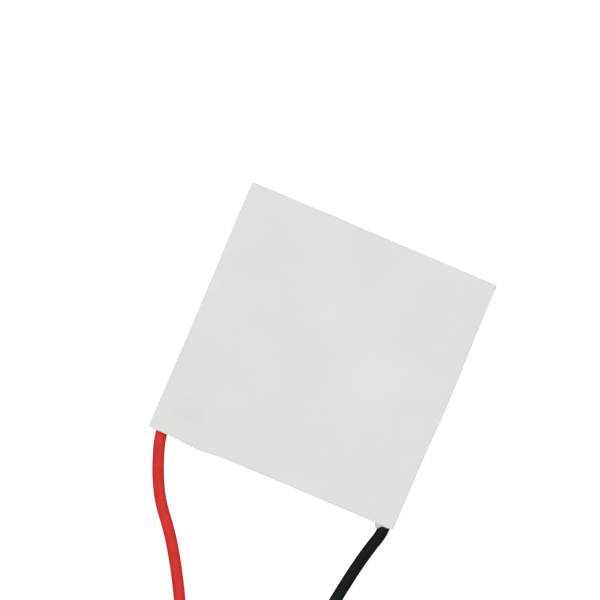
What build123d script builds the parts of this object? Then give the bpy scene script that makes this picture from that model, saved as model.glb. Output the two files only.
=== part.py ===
from build123d import *
from math import atan2, degrees, pi, sqrt, tan
import os

# A sealed single-stage thermoelectric cooling module with two flying leads.
# The origin is the middle of the hot face, +Z points to the cold face and the
# leads leave the -Y edge, red on the -X side. All sizes are in millimetres.

# Ceramic plates
plate_side = 40.0
plate_thickness = 0.8
plate_corner_radius = 0.3
module_height = 3.8

# Couples: square pellets on a square grid, bridged by copper tabs
column_pairs = 8
pellet_side = 1.4
tab_thickness = 0.3
tab_overhang = 0.1
copper_margin = 1.2

# Edge sealant
sealant_recess = 0.15
sealant_dish = 0.12
sealant_corner_radius = 1.1
sealant_to_copper = 0.2
collar_radius = 1.5
collar_root_length = 0.28
collar_swell = 0.1
collar_lip = 0.1
red_collar_length = 0.25
black_collar_length = 0.4

# Leads and their soldered inner ends
lead_diameter = 1.8
conductor_diameter = 0.95
lead_length = 300.0
red_lead_shift = 0.0
black_lead_shift = 0.5
joint_length = 1.6
joint_wall = 0.15
joint_foot_width = 1.0
joint_end_gap = 0.2
tip_length = 6.0
bend_share = 0.45

# Coils of spare lead and the twist ties round them
coil_turns = 4
coil_layers = 2
coil_slack = 0.08
coil_chamfer = 0.5
spur_clearance = 0.25
tie_thickness = 0.3
tie_angle = 12.0
tie_end_length = 5.0
tie_end_width = 1.8
tie_end_height = 1.2

# Routes of the free stretches. Each row is an offset in x from the lead's place
# on the plate's edge, an offset in y from that edge, and how much of the height
# between the floor and the exit is left there.
red_route = [
    (-0.03, 1.10, 1.00),
    (0.21, -0.91, 1.00),
    (0.99, -3.36, 0.78),
    (2.24, -6.56, 0.30),
    (4.09, -9.98, 0.03),
    (7.03, -13.43, 0.00),
    (9.55, -17.18, 0.00),
    (11.86, -21.13, 0.00),
    (13.91, -25.03, 0.04),
    (15.59, -28.98, 0.04),
]
black_route = [
    (-0.15, 1.10, 1.00),
    (0.18, -0.90, 1.00),
    (-0.40, -3.63, 0.75),
    (-1.28, -7.18, 0.27),
    (-1.89, -10.83, 0.02),
    (-2.44, -14.43, 0.04),
    (-2.44, -17.20, 0.04),
]

# The loose end of each lead past its coil: the length of each run, the turn to
# the left in degrees before it, and the height its far end has over the floor,
# as a share of the height at which the end leaves the coil.
tail_runs = [4.8, 5.6, 4.4]
tail_heights = [1.03, 0.0, 0.0]
red_tail_turns = [0.0, 20.0, 17.0]
black_tail_turns = [0.0, 8.0, 7.0]

# Derived heights
half_side = plate_side / 2
gap_floor = plate_thickness
gap_ceiling = module_height - plate_thickness
gap_height = gap_ceiling - gap_floor
gap_middle = (gap_floor + gap_ceiling) / 2
pellet_floor = gap_floor + tab_thickness
pellet_height = gap_height - 2 * tab_thickness
lead_radius = lead_diameter / 2
conductor_radius = conductor_diameter / 2

# Derived grid of pellet sites
sites = 2 * column_pairs
tab_width = pellet_side + 2 * tab_overhang
pitch = (plate_side - 2 * copper_margin - tab_width) / (sites - 1)
tab_length = pitch + tab_width

# Derived section of a coil. Each layer is a spiral that drifts by one lead a turn,
# so a layer reaches half its drift past the mean radius, and the solid is as wide
# as the coil is on average round its ring.
coil_drift = coil_turns / coil_layers * lead_radius
coil_half_width = coil_drift + lead_radius / 2 + coil_slack
coil_height = coil_layers * lead_diameter + 2 * coil_slack


def site(column, row):
    """Middle of one grid site; column 0 is at -X and row 0 at the leads' edge."""
    offset = (sites - 1) / 2
    return (column - offset) * pitch, (row - offset) * pitch


def series_path():
    """Sites in the order the current takes, up and down column by column.
    The two corner sites beside the leads hold no pellet."""
    order = []
    for column in range(sites):
        rows = list(range(sites))
        if column in (0, sites - 1):
            rows = rows[1:]
        if column % 2:
            rows.reverse()
        order += [(column, row) for row in rows]
    return order


def plate(bottom):
    """One ceramic plate with its lower face at the given height."""
    outline = RectangleRounded(plate_side, plate_side, plate_corner_radius)
    return Pos(0, 0, bottom) * extrude(outline, plate_thickness)


def pellet(place):
    """One square pellet standing on the hot side's copper."""
    x, y = site(*place)
    middle = Pos(x, y, pellet_floor + pellet_height / 2)
    return middle * Box(pellet_side, pellet_side, pellet_height)


def tab(place, other, bottom):
    """One copper tab that bridges two neighbouring sites."""
    x0, y0 = site(*place)
    x1, y1 = site(*other)
    same_row = place[1] == other[1]
    size = (tab_length, tab_width) if same_row else (tab_width, tab_length)
    middle = Pos((x0 + x1) / 2, (y0 + y1) / 2, bottom + tab_thickness / 2)
    return middle * Box(*size, tab_thickness)


def edge_bead():
    """The sealant's ring between the plates, with a dished outer face."""
    outer = half_side - sealant_recess
    depth = outer - (half_side - copper_margin + sealant_to_copper)
    half = gap_height / 2
    outline = RectangleRounded(2 * outer, 2 * outer, sealant_corner_radius).wire()
    path = Pos(0, 0, gap_middle) * outline
    outward = (path % 0).cross(Vector(0, 0, 1))
    if outward.dot(path @ 0) < 0:
        outward = outward * -1
    face = make_face([
        Polyline((0, -half), (-depth, -half), (-depth, half), (0, half)),
        ThreePointArc((0, half), (-sealant_dish, 0), (0, -half)),
    ])
    return sweep(Plane(origin=path @ 0, x_dir=outward, z_dir=path % 0) * face, path=path)


def lead_collar(exit_x, length):
    """The dab of sealant round a lead where it leaves, trimmed to the plates' gap."""
    inner = -half_side + sealant_recess + collar_root_length
    end = -half_side - length
    end_radius = lead_radius + collar_lip
    bulge = (collar_radius + end_radius) / 2 + collar_swell
    face = make_face([
        Polyline((0, end), (0, inner), (collar_radius, inner), (collar_radius, -half_side)),
        ThreePointArc(
            (collar_radius, -half_side), (bulge, (end - half_side) / 2), (end_radius, end)
        ),
        Line((end_radius, end), (0, end)),
    ])
    dab = Pos(exit_x, 0, gap_middle) * revolve(face, axis=Axis.Y)
    room = 2 * (collar_radius + length)
    gap = Box(room, room, gap_height)
    return dab & (Pos(exit_x, -half_side, gap_middle) * gap)


def bend_radii(points):
    """Arc radius at each inner point of a route: a fixed share of the shorter run beside
    it over the tangent of half the turn."""
    radii = []
    for before, here, after in zip(points, points[1:], points[2:]):
        turn = (here - before).get_angle(after - here) * pi / 180
        shorter = min((here - before).length, (after - here).length)
        radii.append(bend_share * shorter / tan(turn / 2))
    return radii


def cord(points):
    """A solid round cord along straight runs joined by tangent arcs, and its middle line."""
    path = FilletPolyline(*points, radius=bend_radii(points))
    section = Plane(origin=path @ 0, z_dir=path % 0) * Circle(lead_radius)
    return sweep(section, path=path), path


def rod(start, direction, length, radius):
    """A straight round bar from a start point."""
    return extrude(Plane(origin=start, z_dir=direction) * Circle(radius), length)


def solder_joint(start, inward):
    """Solder round the stripped conductor, with a foot down to the lead's pad."""
    up = Plane(origin=start, x_dir=Vector(0, 0, 1), z_dir=inward)
    foot_height = gap_middle - pellet_floor
    foot = Pos(-foot_height / 2, 0) * Rectangle(foot_height, joint_foot_width)
    return extrude(up * (Circle(conductor_radius + joint_wall) + foot), joint_length)


def coil_section(radius, floor, grow):
    """Half section of a coil in the XZ plane from a floor height up, grown all round."""
    near = radius - coil_half_width - grow
    far = radius + coil_half_width + grow
    low = floor - grow
    high = coil_height + grow
    cut = coil_chamfer
    corners = [
        (near + cut, 0, low), (far - cut, 0, low), (far, 0, low + cut), (far, 0, high - cut),
        (far - cut, 0, high), (near + cut, 0, high), (near, 0, high - cut), (near, 0, low + cut),
    ]
    return make_face(Polyline(*corners, close=True))


def twist_tie(radius):
    """A tie's band round a coil's section and its two ends twisted into a short bar."""
    inside = coil_section(radius, tie_thickness, 0)
    outside = coil_section(radius, tie_thickness, tie_thickness)
    band = Rot(0, 0, -tie_angle / 2) * revolve(
        outside - inside, axis=Axis.Z, revolution_arc=tie_angle
    )
    reach = radius - coil_half_width - (tie_thickness + tie_end_length) / 2
    bar = Box(tie_end_length, tie_end_width, tie_end_height)
    return band + Pos(reach, 0, coil_height / 2) * bar


def coil_place(end, heading, run_length, side):
    """Mean radius of the turns that use up the lead, the straight spur from the tube's end
    to the outer turn, where it touches that turn, and the coil's middle. The spur starts
    clear of the coil's wall, so its square is wall * (2 * radius + width), and the radius
    is the root of the quadratic in which turns and spur add up to the spare length. The
    side is 1 where the coil lies to the left of the lead, and -1 to the right."""
    spare = lead_length - run_length - sum(tail_runs) - tip_length
    turning = 2 * pi * coil_turns
    outer = coil_half_width + spur_clearance
    inner = coil_drift - lead_radius
    wall = outer - inner
    width = outer + inner
    root = sqrt(wall * (2 * spare * turning + wall + turning ** 2 * width))
    radius = (spare * turning + wall - root) / turning ** 2
    spur = sqrt(wall * (2 * radius + width))
    touch = end + heading * spur
    left = Vector(-heading.Y, heading.X, 0)
    middle = touch + left * (side * (radius + coil_drift))
    return radius, spur, touch, Vector(middle.X, middle.Y, 0)


def tail_points(touch, bearing, turns):
    """Route of the loose end from the coil's top layer down to the floor."""
    lift = lead_diameter * (coil_layers - 1)
    points = [touch + Vector(0, 0, lift)]
    crest = points[0].Z - lead_radius
    for run, turn, share in zip(tail_runs, turns, tail_heights):
        bearing += turn
        place = points[-1] + Vector(run, 0, 0).rotate(Axis.Z, bearing)
        points.append(Vector(place.X, place.Y, lead_radius + crest * share))
    return points


def lead_pieces(name, exit_x, rows, side, turns):
    """All pieces of one lead, from the solder joint inside to the bare tip."""
    rise = gap_middle - lead_radius
    route = [Vector(exit_x + x, y - half_side, lead_radius + rise * z) for x, y, z in rows]
    tube, path = cord(route)
    inward = (route[0] - route[1]).normalized()
    joint_start = route[0] + inward * joint_end_gap
    stub = rod(route[0], inward, joint_length + 2 * joint_end_gap, conductor_radius)

    heading = path % 1
    bearing = degrees(atan2(heading.Y, heading.X))
    run_length = path.length - (route[0].Y + half_side)
    radius, spur, touch, middle = coil_place(route[-1], heading, run_length, side)
    tail_route = tail_points(touch, bearing, turns)
    tail, tail_path = cord(tail_route)
    tie = Pos(*middle) * Rot(0, 0, bearing + 90 * side) * twist_tie(radius)
    ring = Pos(*middle) * revolve(coil_section(radius, 0, 0), axis=Axis.Z)
    coil = ring + rod(route[-1], heading, spur, lead_radius) + tail - tie

    section = pi * lead_radius ** 2
    radii = bend_radii(route) + bend_radii(tail_route)
    print(name, "arc radii", [round(value, 1) for value in radii])
    print(name, "tube volume over section times length", tube.volume / (section * path.length))
    print(name, "coil radius", round(radius, 3), "middle", middle, "touch", touch)
    print(name, "loose end", tail_route, "direction", tail_path % 1)
    return {
        name: tube,
        name + "_inner_end": stub,
        name + "_solder_joint": solder_joint(joint_start, inward) - stub,
        name + "_coil": coil,
        name + "_tip": rod(tail_route[-1], tail_path % 1, tip_length, conductor_radius),
        name + "_tie": tie,
    }


order = series_path()
red_x = site(0, 0)[0] + red_lead_shift
black_x = site(sites - 1, 0)[0] + black_lead_shift
red = lead_pieces("red_lead", red_x, red_route, -1, red_tail_turns)
black = lead_pieces("black_lead", black_x, black_route, 1, black_tail_turns)
bead = edge_bead()
bead += lead_collar(red_x, red_collar_length)
bead += lead_collar(black_x, black_collar_length)

nodes = {
    "hot_side_plate": plate(0),
    "hot_side_tabs": Compound([tab(a, b, gap_floor) for a, b in zip(order[1::2], order[2::2])]),
    "red_lead_pad": tab((0, 0), (0, 1), gap_floor),
    "black_lead_pad": tab((sites - 1, 0), (sites - 1, 1), gap_floor),
    "n_type_pellets": Compound([pellet(place) for place in order[0::2]]),
    "p_type_pellets": Compound([pellet(place) for place in order[1::2]]),
    "cold_side_tabs": Compound(
        [tab(a, b, gap_ceiling - tab_thickness) for a, b in zip(order[0::2], order[1::2])]
    ),
    "cold_side_plate": plate(gap_ceiling),
    "edge_sealant": bead - red["red_lead"] - black["black_lead"],
    **red,
    **black,
}

os.makedirs("parts", exist_ok=True)
for name, shape in nodes.items():
    export_step(shape, f"parts/{name}.step")
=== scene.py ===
import bpy
import numpy as np
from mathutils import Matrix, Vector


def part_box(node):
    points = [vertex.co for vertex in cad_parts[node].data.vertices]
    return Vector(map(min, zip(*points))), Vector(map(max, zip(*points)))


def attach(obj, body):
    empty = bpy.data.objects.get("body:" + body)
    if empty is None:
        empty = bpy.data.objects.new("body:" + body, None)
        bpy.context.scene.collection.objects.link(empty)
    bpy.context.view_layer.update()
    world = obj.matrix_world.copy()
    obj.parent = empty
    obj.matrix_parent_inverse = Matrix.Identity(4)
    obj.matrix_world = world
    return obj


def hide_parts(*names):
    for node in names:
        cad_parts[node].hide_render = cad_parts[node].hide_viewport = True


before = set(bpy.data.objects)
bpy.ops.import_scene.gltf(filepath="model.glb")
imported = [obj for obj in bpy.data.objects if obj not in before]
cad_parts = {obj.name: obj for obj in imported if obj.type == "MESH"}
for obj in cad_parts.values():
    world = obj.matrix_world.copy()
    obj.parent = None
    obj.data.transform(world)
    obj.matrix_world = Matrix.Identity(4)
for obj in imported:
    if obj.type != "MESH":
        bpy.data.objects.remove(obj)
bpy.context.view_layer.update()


# Hot-side plate. A square of white alumina ceramic, cast as tape, fired, scored and
# snapped to size, so its edges wander a little and their arrises are slightly worn.
# The copper of the hot side is bonded to its inner face.

mm = 0.001
hot_low, hot_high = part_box("hot_side_plate")
half_side = hot_high.x
plate_thickness = hot_high.z - hot_low.z
arris_radius = 0.06 * mm
corner_radius = 0.3 * mm
edge_wander = 0.03 * mm
edge_waves = [3, 7, 16, 37, 61]
snap_roughness = 0.03 * mm
snap_waves = [113, 167, 263, 331, 487, 661, 823]
snap_step = 0.02 * mm
arris_points = 5
plate_side_points = 480
plate_corner_points = 14
face_share = np.array([0.98, 0.98, 1.0])

# In shares of the plate's thickness: the rings at the score line, and the heights at which so
# much of the break, or of a chip, shows.
score_band = np.array([0.42, 0.5, 0.58])
break_profile = [0, 0.1, 0.5, 0.58, 1], [0.5, 1, 1, 0.35, 0.2]
chip_profile = [0, 0.6, 0.9, 1], [0, 0, 0.7, 1]


def rounded_square(half, radii, side_points, corner_points):
    """Points round a square, their outward normals, their distance round it and its
    whole length. The line runs counter-clockwise from the lower side: each side is a
    straight run, and the corner after it a quarter arc of its own radius."""
    arc = np.linspace(-np.pi / 2, 0, corner_points, endpoint=False)
    quarter_turn = np.array([[0, 1], [-1, 0]])
    points, normals = [], []
    for side in range(4):
        before, after = radii[side - 1], radii[side]
        run = np.linspace(before - half, half - after, side_points, endpoint=False)
        x = np.concatenate([run, half - after + after * np.cos(arc)])
        y = np.concatenate([np.full(side_points, -half), after - half + after * np.sin(arc)])
        out_x = np.concatenate([np.zeros(side_points), np.cos(arc)])
        out_y = np.concatenate([-np.ones(side_points), np.sin(arc)])
        turned = np.linalg.matrix_power(quarter_turn, side)
        points.append(np.stack([x, y], axis=1) @ turned)
        normals.append(np.stack([out_x, out_y], axis=1) @ turned)
    points = np.vstack(points)
    normals = np.vstack(normals)
    steps = np.linalg.norm(np.roll(points, -1, axis=0) - points, axis=1)
    return points, normals, np.cumsum(steps) - steps, steps.sum()


def wander(place, length, waves, seed):
    """A smooth wander between -1 and 1 round a closed line: the mean of sines with whole
    numbers of waves round it and seeded phases."""
    phases = np.random.default_rng(seed).uniform(0, 2 * np.pi, len(waves))
    return np.sin(2 * np.pi * np.outer(place / length, waves) + phases).mean(axis=1)


def ring_skin(rings, closed=False):
    """Points and faces of a skin over rings counted (ring, point, axis). Each ring runs
    counter-clockwise about the way the rings go, and joins the next ring with quads. A
    closed row joins its last ring to its first; an open one ends in two fans."""
    rows, count, _ = rings.shape
    here = np.arange(rows * count).reshape(rows, count)
    ahead = np.roll(here, -1, axis=1)
    last = rows if closed else rows - 1
    above, above_ahead = np.roll(here, -1, axis=0), np.roll(ahead, -1, axis=0)
    quads = np.stack([here, ahead, above_ahead, above], axis=-1)[:last].reshape(-1, 4)
    points = rings.reshape(-1, 3)
    if closed:
        return points, quads.tolist()
    ends = np.stack([rings[0].mean(axis=0), rings[-1].mean(axis=0)])
    first_fan = np.stack([ahead[0], here[0], np.full(count, rows * count)], axis=-1)
    last_fan = np.stack([here[-1], ahead[-1], np.full(count, rows * count + 1)], axis=-1)
    return np.vstack([points, ends]), quads.tolist() + first_fan.tolist() + last_fan.tolist()


def new_piece(name, points, faces, crease):
    """A smooth-shaded mesh piece whose edges stay sharp past the crease angle in degrees."""
    mesh = bpy.data.meshes.new(name)
    mesh.from_pydata(points.tolist(), [], faces)
    mesh.polygons.foreach_set("use_smooth", np.ones(len(mesh.polygons), bool))
    mesh.set_sharp_from_angle(angle=np.radians(crease))
    piece = bpy.data.objects.new(name, mesh)
    bpy.context.scene.collection.objects.link(piece)
    return piece


def bells(place, rows):
    """The sum of bell curves round a line, each given by its place, half width and height."""
    return sum(height * np.exp(-((place - at) / width) ** 2) for at, width, height in rows)


def snapped_plate(name, base, radii, seed, bulges, chips):
    """A plate as rings stacked from its lower face to its upper one. A ring is the rounded
    square, drawn in at the two arrises along a quarter circle, and pushed out by the slow
    wander of the edge and, more below the score line, by the step and the fine roughness of
    the break. A bulge, where the break ran wide of the score, pushes the whole edge out, or in
    if it is negative, and a chip is a bite in the upper arris."""
    outline, outward, place, length = rounded_square(
        half_side, radii, plate_side_points, plate_corner_points)
    bend = np.linspace(-np.pi / 2, 0, arris_points)
    drawn_in = arris_radius * (1 - np.cos(bend))
    raised = arris_radius * (1 + np.sin(bend))
    score_line = score_band * plate_thickness
    inset = np.concatenate([drawn_in, 0 * score_line, drawn_in[::-1]])
    height = np.concatenate([raised, score_line, plate_thickness - raised[::-1]])
    broken = np.interp(height / plate_thickness, *break_profile)
    upper = np.interp(height / plate_thickness, *chip_profile)
    slow = edge_wander * wander(place, length, edge_waves, seed) + bells(place, bulges)
    fine = snap_roughness * wander(place, length, snap_waves, seed + 1)
    push = slow - inset[:, None] + broken[:, None] * (fine + snap_step)
    push = push - upper[:, None] * bells(place, chips)
    flat = outline + push[..., None] * outward
    level = np.broadcast_to(base + height[:, None, None], flat.shape[:2] + (1,))
    rings = np.concatenate([flat, level], axis=-1)
    rings = np.concatenate([rings[:1] * face_share, rings, rings[-1:] * face_share])
    return new_piece(name, *ring_skin(rings), crease=40)


def add_node(tree, kind, feeds=None, **options):
    """Adds a shader node, sets its options, and gives each input a link or a plain value."""
    made = tree.nodes.new(kind)
    for option, value in options.items():
        setattr(made, option, value)
    for socket, value in (feeds or {}).items():
        if isinstance(value, bpy.types.NodeSocket):
            tree.links.new(value, made.inputs[socket])
        else:
            made.inputs[socket].default_value = value
    return made


mottle_detail = 4.0
grain_detail = 2.0
noise_low, noise_high = 0.3, 0.7


def mottle_and_grain():
    """The shader group behind every finish: cloudy mottling and fine grain from 0 to 1, each
    a noise of the piece's own coordinates, stretched from its middle values to the range."""
    group = bpy.data.node_groups.new("mottle_and_grain", "ShaderNodeTree")
    group.interface.new_socket("Place", in_out="INPUT", socket_type="NodeSocketVector")
    for label in ("Mottle", "Grain"):
        group.interface.new_socket(f"{label} Scale", in_out="INPUT", socket_type="NodeSocketFloat")
        group.interface.new_socket(label, in_out="OUTPUT", socket_type="NodeSocketFloat")
    given = group.nodes.new("NodeGroupInput").outputs
    result = group.nodes.new("NodeGroupOutput").inputs
    for label, detail in (("Mottle", mottle_detail), ("Grain", grain_detail)):
        noise = add_node(group, "ShaderNodeTexNoise", {
            "Vector": given["Place"], "Scale": given[f"{label} Scale"], "Detail": detail})
        spread = add_node(group, "ShaderNodeMapRange", {
            "Value": noise.outputs[0], "From Min": noise_low, "From Max": noise_high})
        group.links.new(spread.outputs[0], result[label])
    return group


finish_group = mottle_and_grain()


def mixed_colour(tree, share, first, second):
    """Mixes two colours by a share from 0 to 1. The Mix node repeats its sockets' names, so its
    colour sockets go by number."""
    mix = add_node(tree, "ShaderNodeMix", {0: share, 6: first, 7: second}, data_type="RGBA")
    return mix.outputs[2]


def mottled_finish(name, deep, pale, mottle_size, grain_size, rough, relief, **constants):
    """A material that drifts between two colours in clouds of one size, with grain of another
    size in its roughness, from the lower to the upper value, and in its relief. Constants are
    set on the shader's own sockets."""
    material = bpy.data.materials.new(name)
    material.use_nodes = True
    tree = material.node_tree
    shader = tree.nodes["Principled BSDF"]
    place = add_node(tree, "ShaderNodeTexCoord").outputs["Object"]
    texture = add_node(tree, "ShaderNodeGroup", node_tree=finish_group)
    tree.links.new(place, texture.inputs["Place"])
    texture.inputs["Mottle Scale"].default_value = 1 / mottle_size
    texture.inputs["Grain Scale"].default_value = 1 / grain_size
    colour = mixed_colour(tree, texture.outputs["Mottle"], (*deep, 1), (*pale, 1))
    gloss = add_node(tree, "ShaderNodeMapRange", {
        "Value": texture.outputs["Grain"], "To Min": rough[0], "To Max": rough[1]})
    bump = add_node(tree, "ShaderNodeBump", {
        "Height": texture.outputs["Grain"], "Strength": 1.0, "Distance": relief})
    tree.links.new(colour, shader.inputs["Base Color"])
    tree.links.new(gloss.outputs[0], shader.inputs["Roughness"])
    tree.links.new(bump.outputs[0], shader.inputs["Normal"])
    for socket, value in constants.items():
        shader.inputs[socket.replace("_", " ")].default_value = value
    return material


def fit_piece(piece, material, slot, *nodes):
    """Gives a new piece its material and lets it stand for its CAD nodes. The slot is not used."""
    piece.data.materials.append(material)
    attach(piece, "root")
    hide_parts(*nodes)


alumina = mottled_finish(
    "alumina", deep=(0.700, 0.700, 0.699), pale=(0.713, 0.713, 0.712),
    mottle_size=7 * mm, grain_size=0.09 * mm, rough=(0.52, 0.68), relief=0.002 * mm)
hot_chips = [(23.1 * mm, 0.3 * mm, 0.09 * mm), (97.4 * mm, 0.4 * mm, 0.07 * mm)]
hot_bulges = [(64.6 * mm, 5.0 * mm, 0.10 * mm)]
hot_plate = snapped_plate(
    "hot_plate", hot_low.z, [corner_radius] * 4, seed=11, bulges=hot_bulges, chips=hot_chips)
fit_piece(hot_plate, alumina, "alumina", "hot_side_plate")


# Hot-side copper. Tabs and two lead pads of copper sheet, bonded to the ceramic and
# bright where the solder has wetted them, each tab under one pair of pellets.

copper = mottled_finish(
    "copper", deep=(0.58, 0.27, 0.15), pale=(0.80, 0.47, 0.31),
    mottle_size=1.1 * mm, grain_size=0.05 * mm, rough=(0.25, 0.5), relief=0.004 * mm, Metallic=1.0)


def dress_nodes(material, *nodes):
    """Puts a material on CAD nodes that keep their own shape."""
    for node in nodes:
        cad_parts[node].material_slots[0].material = material


dress_nodes(copper, "hot_side_tabs", "red_lead_pad", "black_lead_pad")


# Pellets. Square posts of bismuth telluride sawn from an ingot, alternately with electrons
# and with holes as carriers, nickel plated on their ends and soldered to the copper.

n_telluride = mottled_finish(
    "n_telluride", deep=(0.26, 0.27, 0.30), pale=(0.42, 0.43, 0.45),
    mottle_size=0.5 * mm, grain_size=0.06 * mm, rough=(0.35, 0.6), relief=0.01 * mm, Metallic=0.9)
p_telluride = mottled_finish(
    "p_telluride", deep=(0.21, 0.21, 0.22), pale=(0.36, 0.35, 0.35),
    mottle_size=0.4 * mm, grain_size=0.06 * mm, rough=(0.4, 0.65), relief=0.01 * mm, Metallic=0.9)
dress_nodes(n_telluride, "n_type_pellets")
dress_nodes(p_telluride, "p_type_pellets")


# Cold-side copper. The same tabs on the other ceramic, shifted by one pellet, so that the
# current goes up through one kind of pellet and down through the other.

dress_nodes(copper, "cold_side_tabs")


# Cold-side plate. The ceramic square that is seen from above, with a blunt corner, a small
# chip near another one, and a few faint marks of handling and of sealant wiped off it.

cold_low, cold_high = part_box("cold_side_plate")
blunt_radius = 0.75 * mm
keen_radius = 0.1 * mm
cold_radii = [corner_radius, keen_radius, blunt_radius, keen_radius]
cold_bulges = [
    (8.0 * mm, 3.3 * mm, 0.34 * mm),
    (61.8 * mm, 8.0 * mm, 0.20 * mm),
    (139.4 * mm, 14.0 * mm, -0.07 * mm),
]
cold_chips = [
    (79.2 * mm, 0.20 * mm, 0.26 * mm),
    (51.0 * mm, 0.35 * mm, 0.06 * mm),
    (131.5 * mm, 0.30 * mm, 0.07 * mm),
]
cold_alumina = alumina.copy()
cold_alumina.name = "cold_alumina"
rim_patch = 1.6 * mm
rim_unevenness = 0.9
full_within, gone_beyond = 0.5, 1.35


def soft_mark(material, centre, size, strength, colour):
    """Lays a colour over a finish in one soft patch: its cover is its strength in the middle
    and falls to nothing on an ellipse of the given half widths, whose rim noise makes uneven."""
    tree = material.node_tree
    shader = tree.nodes["Principled BSDF"]
    under = shader.inputs["Base Color"].links[0].from_socket
    place = add_node(tree, "ShaderNodeTexCoord").outputs["Object"]
    away = add_node(tree, "ShaderNodeVectorMath", {0: place, 1: centre}, operation="SUBTRACT")
    share = add_node(
        tree, "ShaderNodeVectorMath", {0: away.outputs[0], 1: size}, operation="DIVIDE")
    reach = add_node(tree, "ShaderNodeVectorMath", {0: share.outputs[0]}, operation="LENGTH")
    noise = add_node(tree, "ShaderNodeTexNoise", {"Vector": place, "Scale": 1 / rim_patch})
    uneven = add_node(tree, "ShaderNodeMath", {
        0: noise.outputs[0], 1: rim_unevenness, 2: reach.outputs["Value"]},
        operation="MULTIPLY_ADD")
    cover = add_node(tree, "ShaderNodeMapRange", {
        "Value": uneven.outputs[0], "From Min": full_within, "From Max": gone_beyond,
        "To Min": strength, "To Max": 0.0}, interpolation_type="SMOOTHSTEP")
    layer = mixed_colour(tree, cover.outputs[0], under, (*colour, 1))
    tree.links.new(layer, shader.inputs["Base Color"])


sealant_film = (0.700, 0.712, 0.660)
smudge_grey = (0.655, 0.658, 0.666)
rubbed_white = (0.745, 0.745, 0.742)
mark_half_height = 4 * mm

# Each mark's middle and half widths in millimetres, its strength and its colour.
handling_marks = [
    ((-16.5, -19.3), (5.0, 4.0), 0.8, sealant_film),
    ((-2.3, -19.8), (5.2, 2.4), 0.6, sealant_film),
    ((-15.2, -15.7), (4.2, 3.2), 0.5, smudge_grey),
    ((-19.2, 3.5), (1.6, 2.6), 0.5, rubbed_white),
    ((7.8, 0.6), (8.5, 9.0), 0.4, rubbed_white),
    ((-8.9, -3.2), (4.5, 4.5), 0.3, rubbed_white),
    ((-2.8, 5.5), (5.0, 4.5), 0.25, rubbed_white),
]
for (mark_x, mark_y), (half_x, half_y), strength, colour in handling_marks:
    soft_mark(
        cold_alumina, (mark_x * mm, mark_y * mm, cold_high.z),
        (half_x * mm, half_y * mm, mark_half_height), strength, colour)
cold_plate = snapped_plate(
    "cold_plate", cold_low.z, cold_radii, seed=29, bulges=cold_bulges, chips=cold_chips)
fit_piece(cold_plate, cold_alumina, "alumina", "cold_side_plate")


# Lead ends and solder. The stripped, tinned end of each lead lies over its pad in a bead of
# solder that runs down to the copper.

tinned_copper = mottled_finish(
    "tinned_copper", deep=(0.56, 0.56, 0.55), pale=(0.76, 0.76, 0.74),
    mottle_size=0.6 * mm, grain_size=0.05 * mm, rough=(0.22, 0.42), relief=0.006 * mm,
    Metallic=1.0)
solder = mottled_finish(
    "solder", deep=(0.50, 0.50, 0.51), pale=(0.70, 0.70, 0.70),
    mottle_size=0.5 * mm, grain_size=0.08 * mm, rough=(0.15, 0.35), relief=0.008 * mm,
    Metallic=1.0)
dress_nodes(tinned_copper, "red_lead_inner_end", "black_lead_inner_end")
dress_nodes(solder, "red_lead_solder_joint", "black_lead_solder_joint")


# Edge sealant. A bead of white silicone, run round the gap between the plates to keep damp
# from the pellets and smoothed by hand, with a dab round each lead where it comes out.

lead_diameter = 1.8 * mm
lead_height = (hot_high.z + cold_low.z) / 2
gap_height = cold_low.z - hot_high.z
red_exit_x = -18.0 * mm
black_exit_x = 18.5 * mm
bead_recess = 0.15 * mm
bead_dish = 0.12 * mm
bead_wander = 0.09 * mm
bead_waves = [5, 9, 14, 23, 41, 60]
bead_depth = 1.0 * mm
bead_corner = 1.15 * mm
rim_depth = 0.04 * mm
rim_turn_back, rim_climb = 8, 4
front_edge = -0.9 * half_side
dab_core = lead_diameter / 4
dab_slope = 0.85 * mm
red_dab, red_lean = 0.33 * mm, 0.10 * mm
black_dab, black_lean = 0.42 * mm, 0.65 * mm
overrun_height = 0.8
overrun_rise = 0.45
overruns = [
    (6.9 * mm, 3.7 * mm, 0.34 * mm),
    (61.4 * mm, 8.5 * mm, 0.30 * mm),
    (104.0 * mm, 6.0 * mm, 0.32 * mm),
]
bead_side_points = 400
bead_corner_points = 16
bead_face_points = 25


def smooth_step(share):
    """The smooth step s^2(3 - 2s) of a share s from 0 to 1."""
    return share ** 2 * (3 - 2 * share)


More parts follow.
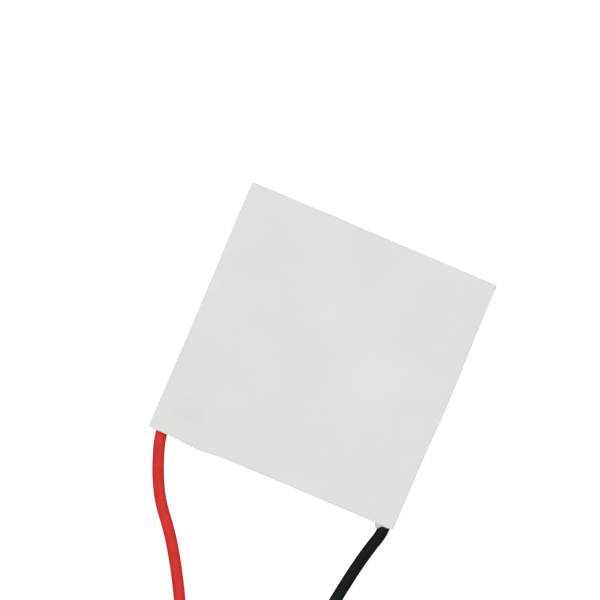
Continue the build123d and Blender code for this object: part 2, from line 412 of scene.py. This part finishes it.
def sealant_bead(name):
    """The bead as rings carried round the plates' edge. A ring is the section of the bead: its
    outer face from the upper plate to the lower one, then its inner face back. The outer face
    lies behind the edge by the recess and by a dish 4v(1-v) at height v, and is pushed out by
    the hand's wander, by the overruns, and by the dab round each lead. An overrun is a bell
    curve round the edge and another one up the face, highest near the upper plate. A dab at
    angle a about its lead is as deep as its own depth and cos(a)^2 of its lean towards -X, and
    thins out away from the lead's skin. Where the face would meet the plates past their edges,
    it turns back to their sides and climbs these by as much as it turns back."""
    outline, outward, place, length = rounded_square(
        half_side, [bead_corner] * 4, bead_side_points, bead_corner_points)
    v = np.linspace(1, 0, bead_face_points)
    height = hot_high.z + gap_height * v
    x, y = outline[:, :1], outline[:, 1:]
    push = -bead_recess - bead_dish * 4 * v * (1 - v)
    push = push + bead_wander * wander(place, length, bead_waves, seed=3)[:, None]
    crest = np.exp(-((v - overrun_height) / overrun_rise) ** 2)
    push = push + bells(place, overruns)[:, None] * crest
    front = y < front_edge
    for exit_x, dab, lean in (
            (red_exit_x, red_dab, red_lean), (black_exit_x, black_dab, black_lean)):
        from_middle = np.hypot(x - exit_x, height - lead_height).clip(dab_core)
        share = np.clip(1 - (from_middle - lead_diameter / 2) / dab_slope, 0, 1)
        leaning = np.clip((exit_x - x) / from_middle, 0, 1) ** 2
        push = push + front * (dab + lean * leaning) * smooth_step(share)
    for rim, nearness, way in ((push[:, :1], v, 1), (push[:, -1:], 1 - v, -1)):
        past = np.clip(rim + rim_depth, 0, None)
        push = push - past * nearness ** rim_turn_back
        height = height + way * past * nearness ** rim_climb
    flat = outline[:, None] + push[..., None] * outward[:, None]
    outer = np.concatenate([flat, height[..., None]], axis=-1)
    back = outline - bead_depth * outward
    floor_corner = np.column_stack([back, np.full(len(back), hot_high.z)])
    ceiling_corner = np.column_stack([back, np.full(len(back), cold_low.z)])
    rings = np.concatenate([outer, floor_corner[:, None], ceiling_corner[:, None]], axis=1)
    return new_piece(name, *ring_skin(rings, closed=True), crease=50)


silicone = mottled_finish(
    "silicone", deep=(0.82, 0.822, 0.815), pale=(0.89, 0.892, 0.886),
    mottle_size=2.4 * mm, grain_size=0.25 * mm, rough=(0.3, 0.5), relief=0.01 * mm)
bead = sealant_bead("sealant_bead")
fit_piece(bead, silicone, "silicone", "edge_sealant")


# Leads. Stranded wire in coloured PVC, 1.8 mm across and 300 mm long, which leaves the bead,
# sinks to the table and runs off in a loose curve. The rest is wound into a small round coil.

coil_turns = 4
points_per_turn = 16
tie_thickness = 0.3 * mm
rise_angle = 1.2
lift_angle = 0.8
lead_round_steps = 10
lead_run_steps = 6
lead_order = 3

# The routes, the coils' touching points and middles, and the loose ends, in millimetres.
red_route = [
    (-18.03, -18.90, 1.90), (-17.79, -20.91, 1.90), (-17.01, -23.36, 1.68),
    (-15.76, -26.56, 1.20), (-13.91, -29.98, 0.93), (-10.97, -33.43, 0.90),
    (-8.45, -37.18, 0.90), (-6.14, -41.13, 0.90), (-4.09, -45.03, 0.94),
    (-2.41, -48.98, 0.94),
]
red_touch = (0.000, -54.646)
red_coil_middle = (-10.440, -59.087)
red_loose_end = [(1.879, -59.063, 2.795), (5.701, -63.156, 0.900), (9.513, -65.354, 0.900)]
black_route = [
    (18.55, -18.90, 1.90), (18.83, -20.80, 1.90), (18.00, -23.63, 1.65),
    (17.22, -27.18, 1.17), (16.61, -30.83, 0.92), (16.06, -34.43, 0.94),
    (16.06, -37.20, 0.94),
]
black_touch = (16.060, -43.524)
black_coil_middle = (28.021, -43.524)
black_loose_end = [(16.060, -48.324, 2.795), (16.839, -53.869, 0.900), (17.978, -58.119, 0.900)]


def coil_points(touch, middle, hand):
    """Control points of a coil in two layers. The turn angle p starts where the lead touches
    the outer turn. The radius drifts in by one lead a turn over the lower layer and out again
    over the upper one, the height climbs by one lead midway, and half-way round each turn the
    lead lies on the tie's band. Points stand outside the curve by the cosine of half a step."""
    step = 2 * np.pi / points_per_turn
    p = (np.arange(coil_turns * points_per_turn) + 0.5) * step
    spoke = np.subtract(touch, middle)
    outer = np.hypot(*spoke)
    turns_from_middle = np.abs(p / (2 * np.pi) - coil_turns / 2)
    radius = outer + lead_diameter / mm * (turns_from_middle - coil_turns / 2)
    climb = np.clip((p - np.pi * coil_turns) / rise_angle + 0.5, 0, 1)
    from_tie = np.clip((p % (2 * np.pi) - np.pi) / lift_angle, -1, 1)
    height = lead_diameter / mm * (0.5 + smooth_step(climb))
    height = height + tie_thickness / mm * np.cos(np.pi / 2 * from_tie) ** 2
    angle = np.arctan2(spoke[1], spoke[0]) + hand * p
    reach = radius / np.cos(step / 2)
    return np.column_stack(
        [middle[0] + reach * np.cos(angle), middle[1] + reach * np.sin(angle), height])


def lead_curve(name, route, coil, loose_end):
    """One smooth round curve whose control points are the route, the coil and the loose end."""
    points = np.vstack([route, coil, loose_end]) * mm
    curve = bpy.data.curves.new(name, "CURVE")
    curve.dimensions = "3D"
    curve.bevel_depth = lead_diameter / 2
    curve.bevel_resolution = lead_round_steps
    curve.resolution_u = lead_run_steps
    curve.use_fill_caps = True
    spline = curve.splines.new("NURBS")
    spline.points.add(len(points) - 1)
    spline.points.foreach_set("co", np.column_stack([points, np.ones(len(points))]).ravel())
    spline.order_u = lead_order
    spline.use_endpoint_u = True
    lead = bpy.data.objects.new(name, curve)
    bpy.context.scene.collection.objects.link(lead)
    return lead


red_pvc = mottled_finish(
    "red_pvc", deep=(0.61, 0.021, 0.019), pale=(0.70, 0.027, 0.025),
    mottle_size=2.2 * mm, grain_size=0.18 * mm, rough=(0.40, 0.52), relief=0.003 * mm,
    Specular_IOR_Level=0.18)
black_pvc = mottled_finish(
    "black_pvc", deep=(0.0025, 0.0035, 0.0045), pale=(0.006, 0.009, 0.011),
    mottle_size=2.0 * mm, grain_size=0.18 * mm, rough=(0.40, 0.52), relief=0.003 * mm,
    Specular_IOR_Level=0.10)
red_lead = lead_curve(
    "red_wire", red_route, coil_points(red_touch, red_coil_middle, hand=-1), red_loose_end)
black_lead = lead_curve(
    "black_wire", black_route, coil_points(black_touch, black_coil_middle, hand=1),
    black_loose_end)
fit_piece(red_lead, red_pvc, "red_pvc", "red_lead", "red_lead_coil")
fit_piece(black_lead, black_pvc, "black_pvc", "black_lead", "black_lead_coil")


# Lead tips. The last 6 mm of each lead is stripped, its strands are twisted together and
# dipped in solder, so that they show as shallow ridges.

tip_length = 6 * mm
tip_radius = 0.475 * mm
tip_strands = 8
tip_twist = 2 * np.pi / (9 * mm)
strand_depth = 0.15
strip_overlap = 0.5 * mm
tip_rings = 48
tip_end_rings = 8
tip_end_angle = 0.49 * np.pi
points_per_strand = 12


def stranded_tip(name, loose_end):
    """A rod of twisted strands as rings along the lead's last run. At angle a and distance s the
    radius is r(1 - d + d|cos(n(a - ts)/2)|) for n strands of twist t, and it closes at the end
    along a quarter ellipse."""
    before, start = np.array(loose_end[-2:]) * mm
    along = (start - before) / np.linalg.norm(start - before)
    side = np.cross([0, 0, 1], along)
    up = np.cross(along, side)
    end_bend = np.linspace(0, tip_end_angle, tip_end_rings)
    straight = np.linspace(-strip_overlap, tip_length - tip_radius, tip_rings, endpoint=False)
    distance = np.concatenate([straight, tip_length - tip_radius * (1 - np.sin(end_bend))])
    taper = np.concatenate([np.ones_like(straight), np.cos(end_bend)])
    angle = np.linspace(0, 2 * np.pi, points_per_strand * tip_strands, endpoint=False)
    ridge = np.abs(np.cos(tip_strands / 2 * (angle - tip_twist * distance[:, None])))
    radius = tip_radius * taper[:, None] * (1 - strand_depth + strand_depth * ridge)
    across = np.cos(angle)[:, None] * side + np.sin(angle)[:, None] * up
    rings = start + distance[:, None, None] * along + radius[..., None] * across
    return new_piece(name, *ring_skin(rings), crease=60)


red_tip = stranded_tip("red_wire_tip", red_loose_end)
black_tip = stranded_tip("black_wire_tip", black_loose_end)
fit_piece(red_tip, tinned_copper, "tinned_copper", "red_lead_tip")
fit_piece(black_tip, tinned_copper, "tinned_copper", "black_lead_tip")


# Twist ties. A flat plastic strip with a soft wire along its middle, passed once round the
# turns of each coil and closed by twisting its two ends together.

tie_width = 2.0 * mm
tie_wing = 0.14 * mm
tie_core = 0.28 * mm
tie_end_length = 5.0 * mm
twist_pitch = 3.4 * mm
end_flare = 0.5 * mm
flare_start = 0.75
end_gather = 0.35
crumple_depth = 0.08 * mm
crumple_pitch = 1.3 * mm
tie_section_points = 15
tie_side_points = 8
tie_corner_points = 10
tie_end_rings = 60


def tie_section():
    """Half width and half thickness of the strip round its section, outer face first: thin wings,
    swollen over the wire by a bell curve."""
    across = np.linspace(-tie_width / 2, tie_width / 2, tie_section_points)
    swell = np.exp(-(across / tie_core) ** 2)
    half = (tie_wing + (tie_thickness - tie_wing) * swell) / 2
    return np.concatenate([across, across[::-1]]), np.concatenate([half, -half[::-1]])


def twist_tie(name, touch, middle):
    """The strip's section carried round a rounded square that holds the four turns, and then along
    two ends that wind round each other towards the coil's middle and part at their tips. Half-way
    along, an end is gathered to a share of its width, and sine waves crumple its edges."""
    across, thick = tie_section()
    outer = np.hypot(*np.subtract(touch, middle)) * mm
    mean_radius = outer - lead_diameter * coil_turns / 4
    radial = np.append(np.subtract(middle, touch) * mm / outer, 0)
    up = np.array([0, 0, 1.0])
    along_lead = np.cross(up, radial)
    bundle = lead_diameter + tie_thickness / 2
    heart = np.append(np.array(middle) * mm, lead_diameter + tie_thickness) + mean_radius * radial
    loop, loop_out, _, _ = rounded_square(
        bundle, [bundle - lead_diameter / 2] * 4, tie_side_points, tie_corner_points)
    centre = heart + loop[:, :1] * radial + loop[:, 1:] * up
    outward = loop_out[:, :1] * radial + loop_out[:, 1:] * up
    rings = centre[:, None] + thick[:, None] * outward[:, None] + across[:, None] * along_lead
    points, faces = ring_skin(rings, closed=True)
    for half_turn in (0, np.pi):
        s = np.linspace(0, tie_end_length, tie_end_rings)
        turn = 2 * np.pi * s / twist_pitch + half_turn
        flare = np.clip((s / tie_end_length - flare_start) / (1 - flare_start), 0, 1)
        apart = tie_thickness / 2 + end_flare * flare ** 2
        facing = np.cos(turn)[:, None] * up + np.sin(turn)[:, None] * along_lead
        edge = np.cross(-radial, facing)
        line = heart - (bundle + s)[:, None] * radial + apart[:, None] * facing
        width = (1 - end_gather * np.sin(np.pi * s / tie_end_length))[:, None] * across
        waves = crumple_depth * np.sin(2 * np.pi * s / crumple_pitch + half_turn)
        depth = thick + waves[:, None] * (2 * across / tie_width) ** 2
        rings = line[:, None] + depth[..., None] * facing[:, None]
        rings = rings + width[..., None] * edge[:, None]
        end_points, end_faces = ring_skin(rings)
        faces += [[corner + len(points) for corner in face] for face in end_faces]
        points = np.vstack([points, end_points])
    return new_piece(name, points, faces, crease=50)


tie_plastic = mottled_finish(
    "tie_plastic", deep=(0.70, 0.70, 0.68), pale=(0.80, 0.80, 0.78),
    mottle_size=1.2 * mm, grain_size=0.15 * mm, rough=(0.35, 0.5), relief=0.006 * mm)
red_tie = twist_tie("red_wire_tie", red_touch, red_coil_middle)
black_tie = twist_tie("black_wire_tie", black_touch, black_coil_middle)
fit_piece(red_tie, tie_plastic, "tie_plastic", "red_lead_tie")
fit_piece(black_tie, tie_plastic, "tie_plastic", "black_lead_tie")


# Stage. A pale table that glows for the camera, so that it stays white under the module,
# soft light from all round and from two large lamps, and a camera that looks straight down.

white = (1, 1, 1, 1)
table_half = 1.5
table_grey = (0.45, 0.45, 0.45, 1)
table_roughness = 0.9
table_glow = 0.95
floor = new_piece(
    "floor", np.array([(-1, -1, 0), (1, -1, 0), (1, 1, 0), (-1, 1, 0)]) * table_half,
    [[0, 1, 2, 3]], crease=30)
white_table = bpy.data.materials.new("white_table")
white_table.use_nodes = True
table_shader = white_table.node_tree.nodes["Principled BSDF"]
table_shader.inputs["Base Color"].default_value = table_grey
table_shader.inputs["Roughness"].default_value = table_roughness
table_shader.inputs["Emission Color"].default_value = white
ray = add_node(white_table.node_tree, "ShaderNodeLightPath")
glow = add_node(white_table.node_tree, "ShaderNodeMapRange", {
    "Value": ray.outputs["Is Camera Ray"], "To Min": 0.0, "To Max": table_glow})
white_table.node_tree.links.new(glow.outputs[0], table_shader.inputs["Emission Strength"])
floor.data.materials.append(white_table)

surround_strength = 0.62
world = bpy.data.worlds.new("soft_surround")
world.use_nodes = True
surround = world.node_tree.nodes["Background"]
surround.inputs["Color"].default_value = white
surround.inputs["Strength"].default_value = surround_strength
bpy.context.scene.world = world
bpy.context.scene.view_settings.view_transform = "Standard"

lamp_size = 1.2
lamp_height = 1.6
lamp_spread = 0.9
lamp_setback = 0.3
for lamp_name, lamp_side, power in (("left_softbox", -1, 11.5), ("right_softbox", 1, 7.0)):
    lamp_data = bpy.data.lights.new(lamp_name, "AREA")
    lamp_data.size = lamp_size
    lamp_data.energy = power
    lamp = bpy.data.objects.new(lamp_name, lamp_data)
    lamp.location = (lamp_side * lamp_spread, lamp_setback, lamp_height)
    lamp.rotation_euler = (0, lamp_side * np.arctan2(lamp_spread, lamp_height), 0)
    bpy.context.scene.collection.objects.link(lamp)

camera_x, camera_y = -6.42 * mm, 6.39 * mm
camera_height = 501 * mm
camera_turn = np.radians(23)
camera_data = bpy.data.cameras.new("camera")
camera_data.lens = 200
camera_data.sensor_width = 36
camera_data.clip_start = 0.01
camera = bpy.data.objects.new("camera", camera_data)
camera.location = (camera_x, camera_y, cold_high.z + camera_height)
camera.rotation_euler = (0, 0, camera_turn)
bpy.context.scene.collection.objects.link(camera)
bpy.context.scene.camera = camera
